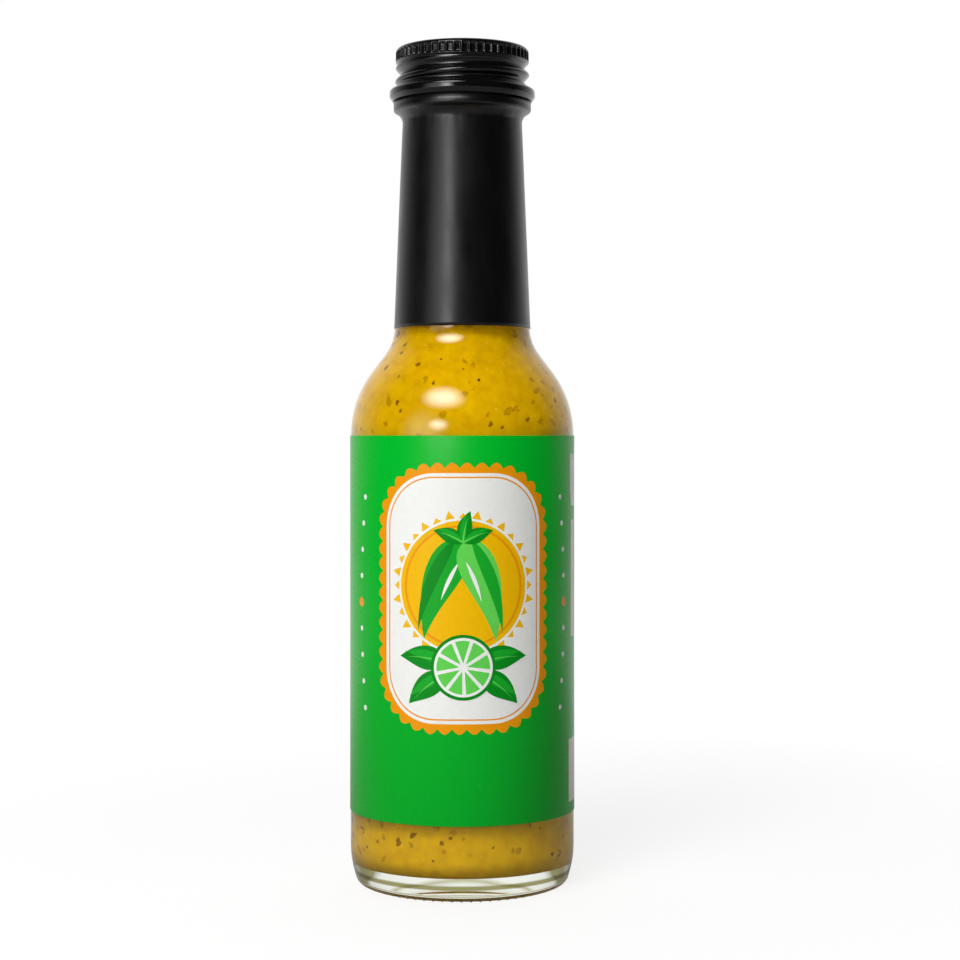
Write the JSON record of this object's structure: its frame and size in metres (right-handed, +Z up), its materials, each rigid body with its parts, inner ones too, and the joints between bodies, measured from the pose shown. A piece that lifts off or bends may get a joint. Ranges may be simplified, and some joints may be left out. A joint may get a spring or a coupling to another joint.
{
  "type": "hot sauce bottle",
  "caption": "Round glass bottle of hot sauce with a wrapped green label, a black screw cap and a black shrink sleeve over its neck.",
  "frame": {"origin": "centre of the standing ring under the bottle, at the lowest point", "axes": "+Z up along the bottle's axis; the label's front faces -Y and its seam is at the back, on +Y"},
  "size_m": [0.0472, 0.0471, 0.1759],
  "materials": {
    "clear_glass": "clear flint glass, smooth and glossy, with knurls round the bearing ring",
    "sauce": "opaque wet mustard-yellow sauce with dark and pale flecks",
    "label": "semi-gloss green printed film, 0.15 mm thick",
    "sleeve_film": "black shrink film with a soft gloss",
    "cap_lacquer": "black gloss lacquer on thin rolled aluminium"
  },
  "bodies": {
    "root": {"glass_bottle": "clear_glass", "sauce": "sauce", "label": "label", "shrink_sleeve": "sleeve_film", "cap": "cap_lacquer"}
  },
  "joints": []
}
